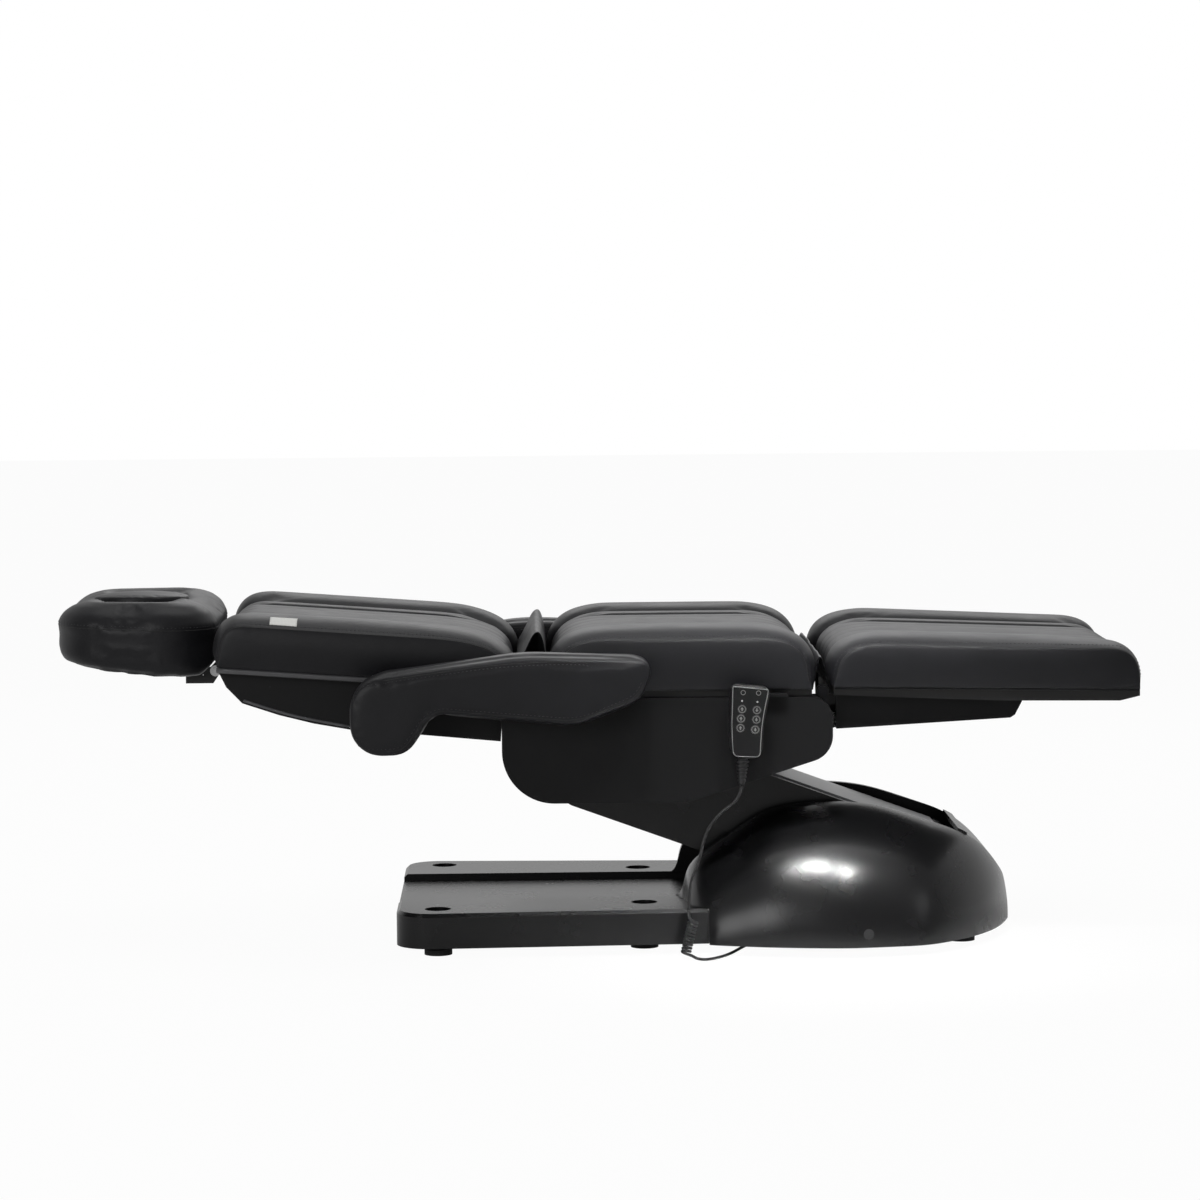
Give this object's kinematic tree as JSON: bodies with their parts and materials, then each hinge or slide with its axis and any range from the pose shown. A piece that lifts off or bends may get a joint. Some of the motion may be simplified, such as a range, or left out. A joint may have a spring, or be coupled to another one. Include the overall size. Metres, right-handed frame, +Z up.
{
  "type": "treatment chair",
  "caption": "Electric salon treatment chair with padded head, back, seat and leg sections, armrests and a lifting arm on a domed base.",
  "frame": {"origin": "on the floor, below the middle of the chair's bounding box", "axes": "+X towards the foot end, +Z up, Y across the chair"},
  "size_m": [1.864, 0.792, 0.609],
  "materials": {
    "vinyl": "black upholstery vinyl with a fine grain",
    "cover_plastic": "satin black moulded plastic",
    "small_plastic": "black plastic",
    "lamp": "clear lamp windows",
    "cord_rubber": "black cord sheath",
    "foot_rubber": "black rubber foot",
    "frame_steel": "black powder coat",
    "pin_steel": "bright steel",
    "motor_body": "cast grey gearcase",
    "bush_bronze": "plain bronze bush",
    "board_wood": "black laminated board",
    "tag_cloth": "white woven label, left bare"
  },
  "bodies": {
    "base": {"base_frame": "frame_steel", "base_cover": "cover_plastic", "dome_cover": "cover_plastic", "side_plugs": "small_plastic", "levelling_feet": "foot_rubber", "base_pivot_pins": "pin_steel", "control_box": "small_plastic", "mains_inlet": "small_plastic", "cord_gland": "small_plastic", "curly_cord": "cord_rubber"},
    "lift_arm": {"arm_frame": "frame_steel", "arm_bushes": "bush_bronze", "arm_cover": "cover_plastic", "arm_top_plate": "frame_steel"},
    "level_link": {"link_bars": "frame_steel", "link_cover": "cover_plastic"},
    "lift_motor_body": {"lift_motor": "motor_body"},
    "lift_rod_body": {"lift_rod": "pin_steel"},
    "seat": {"seat_frame": "frame_steel", "seat_pivot_pins": "pin_steel", "seat_board": "board_wood", "seat_cushion": "vinyl", "side_cover_near": "cover_plastic", "side_cover_far": "cover_plastic", "back_motor": "motor_body", "leg_motor": "motor_body", "hinge_flaps": "vinyl", "handset_hook": "frame_steel", "handset_front": "small_plastic", "handset_back": "small_plastic", "handset_lamps": "lamp", "strain_relief": "cord_rubber", "cord_lead": "cord_rubber"},
    "back_rod_body": {"back_rod": "pin_steel"},
    "leg_rod_body": {"leg_rod": "pin_steel"},
    "back": {"back_frame": "frame_steel", "back_board": "board_wood", "back_cushion": "vinyl", "back_shell": "cover_plastic", "back_hinge_pins": "pin_steel", "blank_tag": "tag_cloth", "armrest_hub_near": "small_plastic", "armrest_hub_far": "small_plastic"},
    "leg_section": {"leg_frame": "frame_steel", "leg_board": "board_wood", "leg_cushion": "vinyl", "leg_shell": "cover_plastic", "leg_hinge_pins": "pin_steel"},
    "head_slider": {"head_rods": "pin_steel"},
    "head": {"head_board": "board_wood", "head_cushion": "vinyl"},
    "plug": {"face_plug": "vinyl"},
    "arm_pad_near": {"armrest_near": "vinyl"},
    "arm_pad_far": {"armrest_far": "vinyl"},
    "key_body_1": {"key_1": "small_plastic"},
    "key_body_2": {"key_2": "small_plastic"},
    "key_body_3": {"key_3": "small_plastic"},
    "key_body_4": {"key_4": "small_plastic"},
    "key_body_5": {"key_5": "small_plastic"},
    "key_body_6": {"key_6": "small_plastic"}
  },
  "joints": [
    {"name": "lift", "type": "hinge", "parent": "base", "child": "lift_arm", "pos_m": [0.596, 0, 0.12], "axis": [0, 1, 0], "range_deg": [0, 40]},
    {"name": "link_swing", "type": "hinge", "parent": "base", "child": "level_link", "pos_m": [0.551, 0, 0.06638], "axis": [0, 1, 0], "range_deg": [0, 40]},
    {"name": "seat_level", "type": "hinge", "parent": "lift_arm", "child": "seat", "pos_m": [0.03218, 0, 0.32521], "axis": [0, 1, 0], "range_deg": [-40, 0]},
    {"name": "lift_motor_swing", "type": "hinge", "parent": "base", "child": "lift_motor_body", "pos_m": [0.491, 0, 0.06], "axis": [0, 1, 0], "range_deg": [0, 42]},
    {"name": "lift_rod_slide", "type": "slide", "parent": "lift_motor_body", "child": "lift_rod_body", "axis": [-0.8363, 0, 0.5483], "range_m": [0, 0.083]},
    {"name": "back_recline", "type": "hinge", "parent": "seat", "child": "back", "pos_m": [-0.109, 0, 0.505], "axis": [0, 1, 0], "range_deg": [0, 75]},
    {"name": "back_rod_slide", "type": "slide", "parent": "seat", "child": "back_rod_body", "axis": [-1, 0, 0], "range_m": [0, 0.174]},
    {"name": "leg_tilt", "type": "hinge", "parent": "seat", "child": "leg_section", "pos_m": [0.388, 0, 0.447], "axis": [0, 1, 0], "range_deg": [0, 35]},
    {"name": "leg_rod_slide", "type": "slide", "parent": "seat", "child": "leg_rod_body", "axis": [-1, 0, 0], "range_m": [0, 0.035]},
    {"name": "head_extend", "type": "slide", "parent": "back", "child": "head_slider", "axis": [-0.9973, 0, 0.074], "range_m": [0, 0.08]},
    {"name": "head_tilt", "type": "hinge", "parent": "head_slider", "child": "head", "pos_m": [-0.662, 0, 0.47789], "axis": [0, 1, 0], "range_deg": [-35, 0]},
    {"name": "plug_lift", "type": "slide", "parent": "head", "child": "plug", "axis": [0, 0, 1], "range_m": [0, 0.12]},
    {"name": "armrest_level_near", "type": "hinge", "parent": "back", "child": "arm_pad_near", "pos_m": [-0.361, 0, 0.412], "axis": [0, 1, 0], "range_deg": [-75, 0]},
    {"name": "armrest_level_far", "type": "hinge", "parent": "back", "child": "arm_pad_far", "pos_m": [-0.361, 0, 0.412], "axis": [0, 1, 0], "range_deg": [-75, 0]},
    {"name": "key_press_1", "type": "slide", "parent": "seat", "child": "key_body_1", "axis": [0, 1, 0], "range_m": [0, 0.0008], "stiffness_N_per_m": 1500, "springref_m": -0.0004},
    {"name": "key_press_2", "type": "slide", "parent": "seat", "child": "key_body_2", "axis": [0, 1, 0], "range_m": [0, 0.0008], "stiffness_N_per_m": 1500, "springref_m": -0.0004},
    {"name": "key_press_3", "type": "slide", "parent": "seat", "child": "key_body_3", "axis": [0, 1, 0], "range_m": [0, 0.0008], "stiffness_N_per_m": 1500, "springref_m": -0.0004},
    {"name": "key_press_4", "type": "slide", "parent": "seat", "child": "key_body_4", "axis": [0, 1, 0], "range_m": [0, 0.0008], "stiffness_N_per_m": 1500, "springref_m": -0.0004},
    {"name": "key_press_5", "type": "slide", "parent": "seat", "child": "key_body_5", "axis": [0, 1, 0], "range_m": [0, 0.0008], "stiffness_N_per_m": 1500, "springref_m": -0.0004},
    {"name": "key_press_6", "type": "slide", "parent": "seat", "child": "key_body_6", "axis": [0, 1, 0], "range_m": [0, 0.0008], "stiffness_N_per_m": 1500, "springref_m": -0.0004}
  ],
  "couplings": [
    {"joint": "link_swing", "follows": "lift", "ratio": 1},
    {"joint": "seat_level", "follows": "lift", "ratio": -1},
    {"joint": "lift_motor_swing", "follows": "lift", "ratio": 1.0455},
    {"joint": "lift_rod_slide", "follows": "lift", "m_per_rad": 0.1177},
    {"joint": "back_rod_slide", "follows": "back_recline", "m_per_rad": 0.13248},
    {"joint": "armrest_level_near", "follows": "back_recline", "ratio": -1},
    {"joint": "armrest_level_far", "follows": "back_recline", "ratio": -1},
    {"joint": "leg_rod_slide", "follows": "leg_tilt", "m_per_rad": 0.05678}
  ]
}
